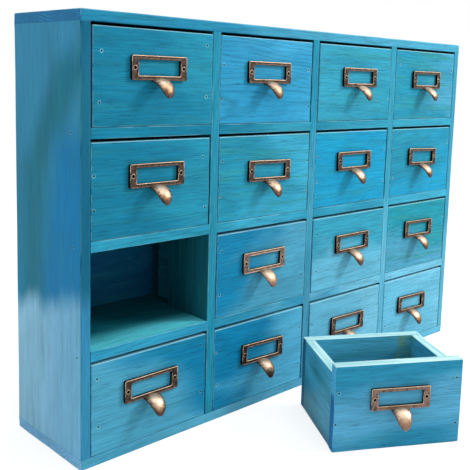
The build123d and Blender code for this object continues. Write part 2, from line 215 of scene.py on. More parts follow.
def group_shell(name, ins, outs):
    """An empty shader group with named inputs and outputs."""
    tree = bpy.data.node_groups.new(name, "ShaderNodeTree")
    for label, kind in ins:
        tree.interface.new_socket(label, in_out="INPUT", socket_type=f"NodeSocket{kind}")
    for label, kind in outs:
        tree.interface.new_socket(label, in_out="OUTPUT", socket_type=f"NodeSocket{kind}")
    entry, leave = tree.nodes.new("NodeGroupInput"), tree.nodes.new("NodeGroupOutput")
    return tree, entry.outputs, leave.inputs


# the stain over pine: growth rings, fibres and pores, two shades that run into each other, thirsty
# end grain, rubbed edges, a painted highlight on the top faces, and a dark spot at each nail in a
# ring of painted highlight
wood, given, gives = group_shell(
    "stained_pine",
    [("Grain", "Vector"), ("Place", "Vector"), ("Edge", "Float"), ("Nail", "Float"), ("End", "Float"),
     ("Upper", "Float"), ("Stain", "Color"), ("Second", "Color"), ("End stain", "Color"),
     ("Green", "Float"), ("Second share", "Float"), ("To right", "Float"), ("To top", "Float"),
     ("Figure", "Float"), ("Rubbed", "Float"), ("Contrast", "Float")],
    [("Colour", "Color"), ("Roughness", "Float"), ("Height", "Float")],
)
ring_waves = 1900.0  # radians per metre from the pith


def plus(a, b):
    return math_node(wood, "ADD", a, b)


def times(a, b):
    return math_node(wood, "MULTIPLY", a, b)


# growth rings, fibres, streaks and pores
in_log = wire(wood, "ShaderNodeSeparateXYZ", given["Grain"]).node.outputs
in_whole = wire(wood, "ShaderNodeSeparateXYZ", given["Place"]).node.outputs
bend = math_node(wood, "MULTIPLY_ADD", noise(wood, given["Grain"], (6.0, 24.0, 24.0)), 0.022, -0.011)
from_pith = math_node(wood, "SQRT", plus(times(in_log[1], in_log[1]), times(in_log[2], in_log[2])))
taper = math_node(wood, "MULTIPLY_ADD", in_log[0], 0.03, bend)
ring = math_node(wood, "SINE", times(plus(from_pith, taper), ring_waves))
late = math_node(wood, "POWER", math_node(wood, "MULTIPLY_ADD", ring, 0.5, 0.5), 3.5)
fibre = noise(wood, given["Grain"], (34.0, 980.0, 980.0), 4.0, 0.6)
streak = noise(wood, given["Grain"], (14.0, 240.0, 240.0), 3.0, 0.6)
pores = smooth_step(wood, noise(wood, given["Grain"], (85.0, 1000.0, 1000.0), 1.0), 0.6, 0.72)
# two shades that run into each other, with greener streaks, and the end grain's own
cloud = noise(wood, given["Grain"], (8.0, 21.0, 21.0), 2.0, 0.5)
lean = plus(times(in_whole[0], times(given["To right"], 0.22)),
            times(in_whole[2], times(given["To top"], 0.22)))
gathered = plus(plus(cloud, lean), math_node(wood, "SUBTRACT", given["Second share"], 0.5))
two_tone = blend(wood, smooth_step(wood, gathered, 0.34, 0.66), given["Stain"], given["Second"])
green = smooth_step(wood, noise(wood, given["Grain"], (11.0, 105.0, 105.0), 2.0), 0.46, 0.68)
two_tone = blend(wood, times(green, given["Green"]), two_tone, (0.03, 0.27, 0.27, 1.0))
two_tone = blend(wood, given["End"], two_tone, given["End stain"])
# how light or dark the wood takes it
shade = math_node(wood, "MULTIPLY_ADD", fibre, 1.0, 0.53)
shade = plus(shade, math_node(wood, "MULTIPLY_ADD", streak, 0.4, -0.2))
blotch = noise(wood, given["Grain"], (12.0, 42.0, 42.0), 3.0, 0.6)
shade = plus(shade, math_node(wood, "MULTIPLY_ADD", blotch, 0.5, -0.25))
figure = plus(given["Figure"], times(given["End"], 0.45))
shade = math_node(wood, "SUBTRACT", shade, times(times(late, figure), 0.42))
shade = math_node(wood, "SUBTRACT", shade, times(pores, 0.24))
level = 1.0  # what the shade comes to on average
off_level = math_node(wood, "SUBTRACT", shade, level)
shade = math_node(wood, "MULTIPLY_ADD", off_level, given["Contrast"], level)
grey = wire(wood, "ShaderNodeCombineXYZ", shade, shade, shade)
soaked = blend(wood, 1.0, two_tone, grey, "MULTIPLY")
# rubbed edges, a painted highlight on the top faces, and the dark head of each nail in a ring of painted
# highlight
rim = smooth_step(wood, given["Edge"], 0.0011, 0.0001)
patchy = smooth_step(wood, noise(wood, given["Grain"], (45.0, 150.0, 150.0), 2.0), 0.3, 0.62)
worn = blend(wood, times(times(rim, patchy), given["Rubbed"]), soaked, (0.24, 0.56, 0.66, 1.0))
streaky = smooth_step(wood, streak, 0.3, 0.7)
# painted highlight on the top faces, as light from above falls on them; palest at their rims
top_highlight = blend(wood, streaky, (0.29, 0.58, 0.6, 1.0), (0.64, 0.88, 0.85, 1.0))
top_highlight = blend(wood, times(rim, 0.8), top_highlight, (0.62, 0.95, 0.98, 1.0))
with_top_highlight = blend(wood, times(given["Upper"], 0.92), worn, top_highlight)
# painted highlight: a pale ring round each nail hole, where the rim of the dimple catches the light; the
# wear setting scales it
nail_highlight = times(smooth_step(wood, given["Nail"], 0.22, 0.42), smooth_step(wood, given["Nail"], 0.72, 0.54))
nail_highlight = times(times(nail_highlight, patchy), times(given["Rubbed"], 1.4))
ringed = blend(wood, nail_highlight, with_top_highlight, (0.26, 0.6, 0.7, 1.0))
spotted = blend(wood, smooth_step(wood, given["Nail"], 0.62, 0.8), ringed, (0.004, 0.02, 0.035, 1.0))
wood.links.new(spotted, gives["Colour"])
# roughness and relief
gloss = math_node(wood, "MULTIPLY_ADD", fibre, 0.2, 0.36)
wood.links.new(plus(gloss, times(given["End"], 0.2)), gives["Roughness"])
planing = noise(wood, given["Grain"], (18.0, 60.0, 60.0), 1.0)
relief = math_node(wood, "SUBTRACT", plus(fibre, planing), times(late, 0.3))
wood.links.new(math_node(wood, "SUBTRACT", relief, times(pores, 0.5)), gives["Height"])


def paint(red, green, blue):
    """A colour given as on a paint card, 0 to 255, as linear light."""
    card = np.array([red, green, blue]) / 255.0
    linear = np.where(card <= 0.04045, card / 12.92, ((card + 0.055) / 1.055) ** 2.4)
    return (*linear.tolist(), 1.0)


# rubbed sets both the wear on the edges and the painted highlight round the nails
def stained(name, stain, second, share=0.5, to_right=0.0, to_top=0.0, figure=0.4, green=0.15,
            end=None, rubbed=0.5, contrast=1.0):
    """Pine under a thin blue stain that gathers into a second shade in places."""
    material = bpy.data.materials.new(name)
    material.use_nodes = True
    tree = material.node_tree
    shader = tree.nodes["Principled BSDF"]
    group = tree.nodes.new("ShaderNodeGroup")
    group.node_tree = wood
    for key, port, socket in (("grain", 1, "Grain"), ("place", 1, "Place"), ("edge", 2, "Edge"),
                              ("nail", 2, "Nail"), ("end", 2, "End"), ("upper", 2, "Upper")):
        value = wire(tree, "ShaderNodeAttribute", attribute_name=key, out=port)
        tree.links.new(value, group.inputs[socket])
    for key, value in (("Stain", stain), ("Second", second), ("Second share", share),
                       ("Figure", figure), ("End stain", end or stain), ("Green", green),
                       ("To right", to_right), ("To top", to_top), ("Rubbed", rubbed),
                       ("Contrast", contrast)):
        group.inputs[key].default_value = value
    bump = tree.nodes.new("ShaderNodeBump")
    bump.inputs["Strength"].default_value = 0.3
    bump.inputs["Distance"].default_value = 0.0003
    tree.links.new(group.outputs["Height"], bump.inputs["Height"])
    tree.links.new(group.outputs["Colour"], shader.inputs["Base Color"])
    tree.links.new(group.outputs["Roughness"], shader.inputs["Roughness"])
    tree.links.new(bump.outputs["Normal"], shader.inputs["Normal"])
    shader.inputs["Specular IOR Level"].default_value = 0.08
    return material


def stain_wires(material):
    """The node tree of a stained material, its stain group, and a point's place in the whole, both
    as a vector and apart."""
    tree = material.node_tree
    group = next(node for node in tree.nodes if node.type == "GROUP")
    place = wire(tree, "ShaderNodeAttribute", attribute_name="place", out=1)
    return tree, group, place, wire(tree, "ShaderNodeSeparateXYZ", place).node.outputs


teal, lagoon, harbour = paint(17, 119, 150), paint(31, 137, 166), paint(14, 123, 164)
mist, foam, pale = paint(72, 154, 184), paint(94, 174, 202), paint(108, 181, 207)
bottom_stain = stained("bottom_stain", mist, foam, 0.58, 1.3, 0.0, 0.12, end=paint(128, 192, 234))
whole = (np.array([0, 0, 207.5 * mm]), cabinet_half)


def fit(piece, body, slot, material, *nodes):
    """Gives a piece its finish, its place in the assembly and the solids that it stands for."""
    piece.data.materials.append(material)
    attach(piece, body)
    if nodes:
        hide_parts(*nodes)
    return piece


def stray(place, turn):
    """How far a nail driven by eye is off its line."""
    return 3.0 * mm * math.sin(7.31 * place + 2.57 * turn)


upright_x = np.array([-295.0, -147.5, 0.0, 147.5, 295.0]) * mm
front_y, back_face_y = -60.0 * mm, 55.0 * mm
divider_back_y = 6.0 * mm
nail_inset = 12.0 * mm
near_y = front_y + nail_inset
far_y = np.array([back_face_y, divider_back_y, divider_back_y, divider_back_y, back_face_y]) - nail_inset


def plank_nails(first):
    """Nails of the top or bottom board over each upright, one near its front, one near its back."""
    spots = []
    for i, x in enumerate(upright_x):
        spots += [(x, near_y + stray(i, first)), (x, far_y[i] + stray(i, first + 1))]
    return spots


def plank(name, z, way, nails, stain):
    """The top or bottom board, nailed into the uprights from above (`way` 1) or below (-1)."""
    stock = Stock(*whole)
    stock.add((0, 0, z), (cabinet_half[0], cabinet_half[1], board_half), 0, cabinet_ease,
              nails, (2, way), crisp=[(2, -way)], heart=0.0)
    fit(stock.build(f"{name}_wood"), "cabinet", "cabinet_wood", stain, name)


bottom_nails = plank_nails(3)
plank("bottom_board", board_half, -1, bottom_nails, bottom_stain)

# Sides: two upright boards standing on the bottom board, nailed through into the shelf ends.
# Their grain runs up and down, and the stain took unevenly in long slanting fields.
side_half = np.array([5.0, 60.0, 197.5]) * mm
upright_half = 197.5 * mm
middle_z = 207.5 * mm
shelf_z = np.array([308.75, 207.5, 106.25]) * mm
side_nail_depth = np.array([16.0, 12.0, 7.0]) * mm
# painted shade on the faces inside the bays: lighter near the front, darker further back
painted_shade_near, painted_shade_far = paint(24, 98, 112), paint(12, 78, 92)


def slanting_fields(name, edge_high, edge_low):
    """The stain of a side: mid blue above and behind, a darker teal field that slants down to the
    back, a strong blue one in front of it, a pale lower part that is a painted reflection of the white
    table, and a front edge of two shades, paler below with the same painted reflection. Each field
    is a soft step of the distance from a line. The inner face carries painted shade, darker towards
    the back, as on the dividers."""
    material = stained(name, mist, teal, figure=0.12, rubbed=0.25, contrast=0.65)
    tree, group, place, at = stain_wires(material)
    wave = math_node(tree, "MULTIPLY_ADD", noise(tree, place, (0.0, 2.2, 1.6), 2.0), 0.9, -0.45)
    bent = math_node(tree, "MAXIMUM", math_node(tree, "ADD", at[2], -0.3), 0.0)
    line = math_node(tree, "MULTIPLY_ADD", bent, 2.5, math_node(tree, "ADD", at[1], -0.42))
    off_line = math_node(tree, "MULTIPLY_ADD", wave, 0.6, line)
    slant = smooth_step(tree, math_node(tree, "ABSOLUTE", off_line), 0.7, 0.1)
    slant = math_node(tree, "MULTIPLY", slant, smooth_step(tree, at[2], 0.92, 0.74))
    wavy = math_node(tree, "MULTIPLY_ADD", wave, 0.5, at[1])
    low_line = math_node(tree, "MULTIPLY_ADD", at[2], 0.6, wavy)
    strong = math_node(tree, "MULTIPLY", smooth_step(tree, low_line, 0.2, -0.3),
                       smooth_step(tree, at[2], 0.58, 0.38))
    sloped = math_node(tree, "MULTIPLY_ADD", at[1], 0.055, at[2])
    # painted reflection of the white table: the lower part of the side is paler
    floor_reflection_mask = smooth_step(tree, math_node(tree, "MULTIPLY_ADD", wave, 0.18, sloped), -0.23, -0.37)
    colour = blend(tree, smooth_step(tree, at[2], 0.9, -0.3), paint(54, 148, 190), paint(16, 136, 178))
    colour = blend(tree, slant, colour, paint(16, 121, 148))
    colour = blend(tree, strong, colour, paint(0, 130, 188))
    to_back = smooth_step(tree, at[1], -1.0, 1.0)
    floor_reflection = blend(tree, to_back, paint(120, 188, 226), paint(148, 206, 236))
    colour = blend(tree, floor_reflection_mask, colour, floor_reflection)
    # painted shade on the inner face, which looks into the bay, darker towards the back
    inner_face = smooth_step(tree, math_node(tree, "ABSOLUTE", at[0]), 0.976, 0.97)
    bay_shading = blend(tree, smooth_step(tree, at[1], -0.8, -0.25), painted_shade_near, painted_shade_far)
    colour = blend(tree, inner_face, colour, bay_shading)
    front_edge = smooth_step(tree, at[1], -0.975, -0.995)
    colour = blend(tree, front_edge, colour, blend(tree, floor_reflection_mask, edge_high, edge_low))
    tree.links.new(colour, group.inputs["Stain"])
    tree.links.new(blend(tree, 0.12, colour, (0.02, 0.16, 0.2, 1)), group.inputs["Second"])
    return material


side_nails = [(front_y + depth, z - middle_z) for depth, z in zip(side_nail_depth, shelf_z)]
for name, sign, edge_high, edge_low in (("left_side", -1, paint(14, 98, 129), paint(50, 134, 176)),
                                        ("right_side", 1, paint(56, 146, 176), paint(84, 166, 192))):
    side = Stock(*whole)
    side.add((sign * upright_x[-1], 0, middle_z), side_half, 2, cabinet_ease, side_nails, (0, sign),
             crisp=[(2, 1), (2, -1)])
    fit(side.build(f"{name}_wood"), "cabinet", "cabinet_wood",
        slanting_fields(f"{name}_stain", edge_high, edge_low), name)

# Dividers: three boards from the bottom board to the top board, halved over the shelves, so their
# front edges run unbroken. They are only 66 mm deep, and the columns are open behind them.
inner_ease = 0.6 * mm
divider_half_y = 33.0 * mm


def lit_from_front(name, near, far, left, right, *gather):
    """The stain of a board inside the bays: its front edge goes from the left shade to the right one,
    its faces over a soft step from the near colour to the far, darker one, which is painted shade
    deeper in the bay; on the shelves the near colour is a painted pool of light."""
    material = stained(name, left, right, *gather, 0.3)
    tree, group, _, at = stain_wires(material)
    face = blend(tree, smooth_step(tree, at[1], -0.8, -0.25), near, far)
    front_edge = smooth_step(tree, at[1], -0.975, -0.995)
    for socket, shade in (("Stain", left), ("Second", right)):
        tree.links.new(blend(tree, front_edge, face, shade), group.inputs[socket])
    return material


sky, turquoise = paint(55, 160, 192), paint(47, 150, 178)
divider_shades = [(teal, lagoon, 0.8, 0.0, 0.3), (lagoon, mist, 0.4, 0.0, -1.0),
                  (turquoise, foam, 0.4, 0.0, -1.6)]
for number, (x, shades) in enumerate(zip(upright_x[1:4], divider_shades), start=1):
    name = f"divider_{number}"
    divider = Stock(*whole)
    divider.add((x, front_y + divider_half_y, middle_z), (board_half, divider_half_y, upright_half), 2,
                inner_ease, crisp=[(2, 1), (2, -1)])
    fit(divider.build(f"{name}_wood"), "cabinet", "cabinet_wood",
        lit_from_front(f"{name}_stain", painted_shade_near, painted_shade_far, *shades), name)

# Shelves: three long boards through all the columns. Between two dividers each shows its front
# edge and its surface, so it is made as a length for each bay and one behind each divider.
inner_half_y, inner_y = 57.5 * mm, -2.5 * mm
bay_half = 68.75 * mm
bay_x = np.array([-221.25, -73.75, 73.75, 221.25]) * mm
hidden_ease = 0.1 * mm
shelf_shades = [(teal, turquoise, 0.5, 1.6, 0.0), (lagoon, sky, 0.5, 0.4, 0.0),
                (paint(44, 146, 182), paint(108, 184, 212), 0.45, 2.0, 0.0)]
for number, (z, shades) in enumerate(zip(shelf_z, shelf_shades), start=1):
    name = f"shelf_{number}"
    shelf = Stock(*whole)
    for x in bay_x:
        shelf.add((x, inner_y, z), (bay_half, inner_half_y, board_half), 0, inner_ease,
                  crisp=[(0, 1), (0, -1)])
    for x in upright_x[1:4]:
        shelf.add((x, (divider_half_y * 2 + front_y + back_face_y) / 2, z),
                  (board_half, (back_face_y - front_y) / 2 - divider_half_y, board_half), 0,
                  hidden_ease)
    fit(shelf.build(f"{name}_wood"), "cabinet", "cabinet_wood",
        # painted pool of light on the front of each shelf, painted shade further back
        lit_from_front(f"{name}_stain", paint(84, 196, 212), paint(16, 92, 104), *shades), name)

# Back: a 5 mm pine panel with its grain across, let in flush between the other boards and nailed to
# the shelves. The photograph shows only its inner face, in the empty bay.
back_half = np.array([290.0, 2.5, 197.5]) * mm
back_y, back_ease, back_nail_pitch = 57.5 * mm, 0.3 * mm, 145.0
back = Stock(*whole)
back_x = (np.arange(4) - 1.5) * back_nail_pitch * mm
back_spots = [(z - middle_z, x + stray(i, z / mm)) for z in shelf_z for i, x in enumerate(back_x)]
back.add((0, back_y, middle_z), back_half, 0, back_ease, back_spots, (1, 1))
back_stain = stained("back_stain", paint(8, 82, 128), paint(12, 94, 132), 0.5, 0.0, 0.0, 0.15)
fit(back.build("back_panel_wood"), "cabinet", "cabinet_wood", back_stain, "back_panel")

# Top board: 10 mm pine like the bottom one, laid over the ends of the sides with its end grain in
# view, and nailed down into the sides and dividers.
top_nails = plank_nails(1)
top_stain = stained("top_stain", paint(30, 130, 166), paint(66, 156, 186), 0.55, 1.6, 0.0, 0.3,
                    end=paint(50, 132, 184))
plank("top_board", 410.0 * mm, 1, top_nails, top_stain)

# Nails: thin steel brads driven by eye through the boards and set just under the surface. Their
# heads are blackened by the stain that pooled on them.
head_radius = 0.9 * mm


def nail_heads(spots, name):
    """Nail heads at (place, outward direction): each a shallow dome, which falls off faster and
    faster away from its middle, over a short straight rim."""
    rings, steps = np.array([0.0, 0.45, 0.8, 1.0, 1.0]), 14
    heights = np.array([0.08, 0.065, 0.02, -0.04, -0.9]) * mm
    angle = np.arange(steps) * 2 * np.pi / steps
    points, quads, count = [], [], 0
    for place, out in spots:
        out = Vector(out)
        side = out.orthogonal().normalized()
        other = out.cross(side)
        basis = np.array([side, other, out])
        r, a = np.meshgrid(rings * head_radius, angle, indexing="ij")
        local = np.stack([r * np.cos(a), r * np.sin(a), np.repeat(heights, steps).reshape(r.shape)], -1)
        points.append(local.reshape(-1, 3) @ basis + np.array(place))
        index = np.arange(r.size).reshape(r.shape)
        after = np.roll(index, -1, axis=1)
        ring_quads = np.stack([index[:-1], index[1:], after[1:], after[:-1]], -1).reshape(-1, 4)
        quads.append(ring_quads + count)
        count += r.size
    return mesh_object(name, np.concatenate(points), np.concatenate(quads))


def steel():
    """Dull blackened steel with a trace of blue stain."""
    material = bpy.data.materials.new("nail_steel_dark")
    material.use_nodes = True
    tree = material.node_tree
    shader = tree.nodes["Principled BSDF"]
    where = wire(tree, "ShaderNodeTexCoord", out=3)
    grit = noise(tree, where, (900.0, 900.0, 900.0), 3.0)
    colour = blend(tree, grit, (0.004, 0.012, 0.02, 1), (0.03, 0.06, 0.08, 1))
    tree.links.new(colour, shader.inputs["Base Color"])
    tree.links.new(math_node(tree, "MULTIPLY_ADD", grit, 0.3, 0.35), shader.inputs["Roughness"])
    shader.inputs["Metallic"].default_value = 0.6
    return material


steel_dark = steel()
sunk = 0.42 * mm
cabinet_spots = [((x, y, 415.0 * mm - sunk), (0, 0, 1)) for x, y in top_nails]
cabinet_spots += [((x, y, sunk), (0, 0, -1)) for x, y in bottom_nails]
cabinet_spots += [((sign * (cabinet_half[0] - sunk), front_y + depth, z), (sign, 0, 0))
                  for depth, z in zip(side_nail_depth, shelf_z) for sign in (-1, 1)]
cabinet_spots += [((x, cabinet_half[1] - sunk, middle_z + rise), (0, 1, 0)) for rise, x in back_spots]
fit(nail_heads(cabinet_spots, "cabinet_nail_heads"), "cabinet", "nail_steel", steel_dark,
    "cabinet_nails")

# Drawers: sixteen, each a nailed box behind an 11 mm front. They were fitted by hand, so each
# leans a little to one side of its bay and each pull sits a little differently.
front_half = np.array([67.75, 5.5, 44.0]) * mm
box_half_x, wall_half, box_low, box_high = 67.45 * mm, 5.25 * mm, 0.8 * mm, 79.0 * mm
rear_half, floor_half = 5.5 * mm, 2.0 * mm
front_ease, wall_ease, floor_ease = 1.0 * mm, 0.6 * mm, 0.3 * mm
tail = 110.0 * mm  # from the front's face to the back of the rear board
loose = (3, 1)  # the drawer that stands in front
# by row and column: how far a drawer leans to the right in its bay, how far its pull sits to the
# right of and above the usual place, in millimetres, and the pull's turn in degrees
fitting = {
    (1, 1): (0.7, 1.75, 0.7, 0.0), (1, 2): (-0.7, -0.45, 0.5, 0.0), (1, 3): (0.7, 4.25, -1.2, 0.0),
    (1, 4): (0.0, -0.65, -1.3, 0.0), (2, 1): (-0.7, 2.05, 3.4, 0.0), (2, 2): (0.0, 3.0, -2.3, 1.3),
    (2, 3): (-0.7, 1.35, 0.4, 0.0), (2, 4): (-0.21, -0.8, -2.3, 2.0), (3, 1): (0.0, 0.8, 0.2, 0.0),
    (3, 2): (0.56, -1.35, 0.5, 0.0), (3, 3): (0.7, 3.45, 0.5, 0.0), (3, 4): (-0.7, 0.3, 0.8, 1.5),
    (4, 1): (-0.42, -1.85, 0.8, 0.0), (4, 2): (-0.42, 1.4, -1.0, 2.0), (4, 3): (0.56, 1.65, -1.0, 1.5),
    (4, 4): (-0.14, -5.9, -1.7, 2.0),
}
# nails of each front: distance in from the left end and height, low then high, then the right end
front_nails = {
    (1, 1): [(6.8, 21.6), (8.8, 66.2), (7.5, 27.1), (7.5, 76.8)],
    (1, 2): [(2.4, 24.8), (4.2, 58.8), (3.3, 17.1), (5.6, 57.2)],
    (1, 3): [(8.3, 22.6), (8.8, 67.8), (2.4, 25.9), (5.5, 74.6)],
    (1, 4): [(8.2, 27.2), (8.7, 69.1), (4.6, 22.0), (5.2, 64.0)],
    (2, 1): [(2.7, 27.5), (2.7, 58.4), (5.0, 18.4), (8.3, 69.0)],
    (2, 2): [(2.4, 27.2), (4.8, 63.2), (4.0, 21.2), (2.4, 56.9)],
    (2, 3): [(4.7, 30.5), (4.7, 59.7), (3.9, 23.4), (4.4, 63.1)],
    (2, 4): [(5.4, 24.6), (4.2, 61.5), (3.6, 26.0), (5.0, 66.8)],
    (3, 1): [(2.4, 28.5), (4.8, 60.5), (4.6, 20.6), (6.2, 68.7)],
    (3, 2): [(4.4, 24.0), (5.9, 70.3), (5.8, 25.6), (6.3, 77.6)],
    (3, 3): [(8.8, 24.6), (8.0, 69.0), (4.2, 21.9), (5.1, 66.3)],
    (3, 4): [(5.2, 26.3), (4.6, 64.9), (4.8, 22.7), (3.9, 62.4)],
    (4, 1): [(7.6, 26.9), (6.2, 73.4), (5.6, 26.7), (7.3, 77.2)],
    (4, 2): [(5.4, 27.2), (2.4, 63.0), (4.4, 19.2), (4.8, 63.7)],
    (4, 3): [(4.9, 24.1), (5.1, 61.0), (3.7, 21.5), (2.4, 62.0)],
    (4, 4): [(4.9, 27.7), (2.8, 67.7), (4.1, 23.3), (4.7, 65.2)],
}
# the stain of each front: a shade, a second one, how much of that shows, whether it gathers to the
# right (or left, below zero), whether to the top, how strongly the growth rings show and how much
# green streaks the grain
azure, bright_sky = paint(18, 145, 186), paint(84, 176, 210)
lake, sky_blue, verdigris = paint(40, 142, 184), paint(58, 153, 193), paint(22, 140, 160)
front_stain = {
    (1, 1): (teal, lagoon, 0.45, 1.0, 0.3, 0.15, 0.2),
    (1, 2): (lake, sky_blue, 0.42, 0.6, 0.2, 0.45, 0.1),
    (1, 3): (turquoise, lagoon, 0.4, 0.3, -0.4, 0.2, 0.4),
    (1, 4): (lagoon, mist, 0.42, 1.0, 0.3, 0.25, 0.6),
    (2, 1): (teal, lagoon, 0.48, 1.5, 0.2, 0.12, 0.15),
    (2, 2): (lagoon, sky, 0.5, 1.0, 0.0, 0.25, 0.6),
    (2, 3): (azure, lagoon, 0.25, 0.3, 0.3, 0.15, 0.25),
    (2, 4): (lagoon, azure, 0.5, 0.3, -0.8, 0.2, 0.2),
    (3, 1): (paint(42, 142, 178), paint(88, 170, 208), 0.5, 0.2, -0.1, 0.1, 0.15),
    (3, 2): (harbour, mist, 0.54, 1.3, -1.3, 0.12, 0.05),
    # painted haze of light: this front is paler below
    (3, 3): (turquoise, foam, 0.5, 0.0, -1.9, 0.15, 0.1),
    (3, 4): (verdigris, mist, 0.42, -0.9, -2.1, 0.3, 0.5),
    (4, 1): (mist, harbour, 0.3, 2.0, 1.8, 0.1, 0.15),
    (4, 2): (harbour, bright_sky, 0.52, 1.6, -1.0, 0.15, 0.05),
    # painted haze of light: these two fronts are paler all over
    (4, 3): (foam, pale, 0.45, 0.9, 0.2, 0.1, 0.05),
    (4, 4): (foam, pale, 0.35, 0.4, 0.2, 0.1, 0.0),
}
lowest_floor, row_pitch, seat_play = 10.0, 101.25, 0.3  # millimetres
row_z = {row: (lowest_floor + (4 - row) * row_pitch + seat_play) * mm for row in range(1, 5)}
loose_corner = np.array([-99.4, -189.0, 0.0]) * mm
loose_turn = math.radians(-31.1)


def drawer_names(place):
    """A drawer's tag in the names of its pieces, and its body."""
    tag = f"r{place[0]}_c{place[1]}"
    return tag, "loose_drawer" if place == loose else f"drawer_{tag}"


def drawer_place(place):
    """Turn and position of a drawer: the middle of its front's lower edge, on the face."""
    if place == loose:
        c, s = math.cos(loose_turn), math.sin(loose_turn)
        turn = np.array([[c, -s, 0], [s, c, 0], [0, 0, 1]])
        return turn, loose_corner + turn @ np.array([front_half[0], 0, 0])
    lean = fitting[place][0] * mm
    return np.eye(3), np.array([bay_x[place[1] - 1] + lean, front_y, row_z[place[0]]])


box_stain = stained("box_stain", paint(22, 102, 122), paint(34, 112, 130), 0.5, 0.0, 0.4, 0.2, 0.3,
                    end=paint(30, 72, 90))
loose_box_stain = stained("loose_box_stain", paint(44, 130, 152), paint(84, 184, 214), 0.5, 0.0, 1.5,
                          0.2, 0.4, end=paint(52, 112, 140))


def mossy_corner(material):
    """Turns the stain yellowish green in blotches at the right end of the rear board's inner face."""
    tree, group, place, at = stain_wires(material)
    blotched = smooth_step(tree, noise(tree, place, (7.0, 7.0, 3.0)), 0.3, 0.7)
    for axis, low, high in ((0, 0.52, 0.68), (1, 0.55, 0.75), (0, 0.9, 0.86), (1, 0.9, 0.84)):
        blotched = math_node(tree, "MULTIPLY", blotched, smooth_step(tree, at[axis], low, high))
    for name in ("Stain", "Second"):
        shade = tuple(group.inputs[name].default_value)
        tree.links.new(blend(tree, blotched, shade, paint(116, 170, 134)), group.inputs[name])


def wiped(material, dark, light):
    """Pales the face along its middle, where the stain was wiped, and lets the end grain darken
    below the height where the stain ran down and gathered."""
    tree, group, place, at = stain_wires(material)
    ragged = math_node(tree, "MULTIPLY_ADD", noise(tree, place, (9.0, 9.0, 9.0)), 0.3, at[2])
    end = blend(tree, smooth_step(tree, ragged, 0.34, 0.56), dark, light)
    tree.links.new(end, group.inputs["End stain"])
    off_middle = math_node(tree, "ABSOLUTE", math_node(tree, "SUBTRACT", at[2], 0.15))
    share = math_node(tree, "MULTIPLY_ADD", smooth_step(tree, off_middle, 0.85, 0.15), 0.34, 0.34)
    tree.links.new(share, group.inputs["Second share"])


mossy_corner(loose_box_stain)
wall_low = 0.8 * mm  # how much lower the side walls end than the rear board
places = [(row, column) for row in range(1, 5) for column in range(1, 5)]
wall_y_half = (tail - 2 * (front_half[1] + rear_half)) / 2
box_z_half = (box_high - box_low) / 2
wall_y, box_z = 2 * front_half[1] + wall_y_half, box_low + box_z_half
wall_x = box_half_x - wall_half
rear_nail_rise = box_z_half - 20 * mm
for place in places:
    tag, body = drawer_names(place)
    move = drawer_place(place)
    extent = (np.array([0, tail / 2, front_half[2]]), np.array([front_half[0], tail / 2, front_half[2]]))
    spots = [(end * (front_half[0] - inset * mm), height * mm)
             for end, (inset, height) in zip((-1, -1, 1, 1), front_nails[place])]
    # painted highlight on the top faces: full on the drawer that stands in the open, less on those under
    # the shelves
    top_light_shows = 1.0 if place == loose else 0.3
    front = Stock(*extent)
    front.add((0, front_half[1], front_half[2]), front_half, 0, front_ease,
              [(height - front_half[2], x) for x, height in spots], (1, -1), top_light_share=top_light_shows)
    finish = stained(f"front_stain_{tag}", *front_stain[place], end=paint(44, 128, 170))
    if place == loose:
        wiped(finish, paint(27, 122, 182), paint(92, 192, 238))
    fit(front.build(f"front_{tag}", move), body, "drawer_front_wood", finish, f"drawer_{tag}_front")

    box = Stock(*extent)
    for end in (-1, 1):
        box.add((end * wall_x, wall_y, box_z - wall_low / 2),
                (wall_half, wall_y_half, box_z_half - wall_low / 2), 1, wall_ease,
                crisp=[(1, 1), (1, -1)], top_light_share=1.0)
    rear_spots = [(end * rear_nail_rise, side * wall_x) for side in (-1, 1) for end in (-1, 1)]
    box.add((0, tail - rear_half, box_z), (box_half_x, rear_half, box_z_half), 0, wall_ease,
            rear_spots, (1, 1), top_light_share=1.0)
    box.add((0, wall_y, box_low + floor_half), (box_half_x - 2 * wall_half, wall_y_half, floor_half),
            0, floor_ease)
    finish = loose_box_stain if place == loose else box_stain
    fit(box.build(f"box_{tag}", move), body, "drawer_box_wood", finish, f"drawer_{tag}_box")

    heads = [((x, sunk, z), (0, -1, 0)) for x, z in spots]
    heads += [((x, tail - sunk, box_z + rise), (0, 1, 0)) for rise, x in rear_spots]
    turned = [(move[0] @ np.array(at) + move[1], move[0] @ np.array(out)) for at, out in heads]
    fit(nail_heads(turned, f"nails_{tag}"), body, "nail_steel", steel_dark)

# Pulls: card frames cast in brass and given an antique bronze finish, rubbed bright on the rims and with
# a painted highlight on those facing up.
# The leaf-shaped tongue for a finger is one piece with the frame, which two pins hold. They are drawn
# in millimetres, from the frame's centre and out from the wood.
frame_w, frame_h, face_z = 62.5, 22.5, 2.95
window_w, window_h, window_up = 47.5, 14.5, 0.2
frame_corner, window_corner, least_corner = 1.7, 0.8, 0.4
pin_x, pull_height = 27.5, 52.3


def rounded(width, height, radius, up=0.0, steps=7, run=5):
    """Points round a rectangle with rounded corners: quarter circles joined by straight runs."""
    corners = []
    for k, (sx, sy) in enumerate([(1, 1), (-1, 1), (-1, -1), (1, -1)]):
        angle = np.pi / 2 * (k + np.linspace(0, 1, steps))
        cx, cy = sx * (width / 2 - radius), sy * (height / 2 - radius)
        corners.append(np.stack([cx + radius * np.cos(angle), cy + up + radius * np.sin(angle)], -1))
    loop = []
    for k in range(4):
        start, stop = corners[k][-1], corners[(k + 1) % 4][0]
        share = np.linspace(0, 1, run + 2)[1:-1, None]
        loop += [corners[k], start + (stop - start) * share]
    return np.concatenate(loop)


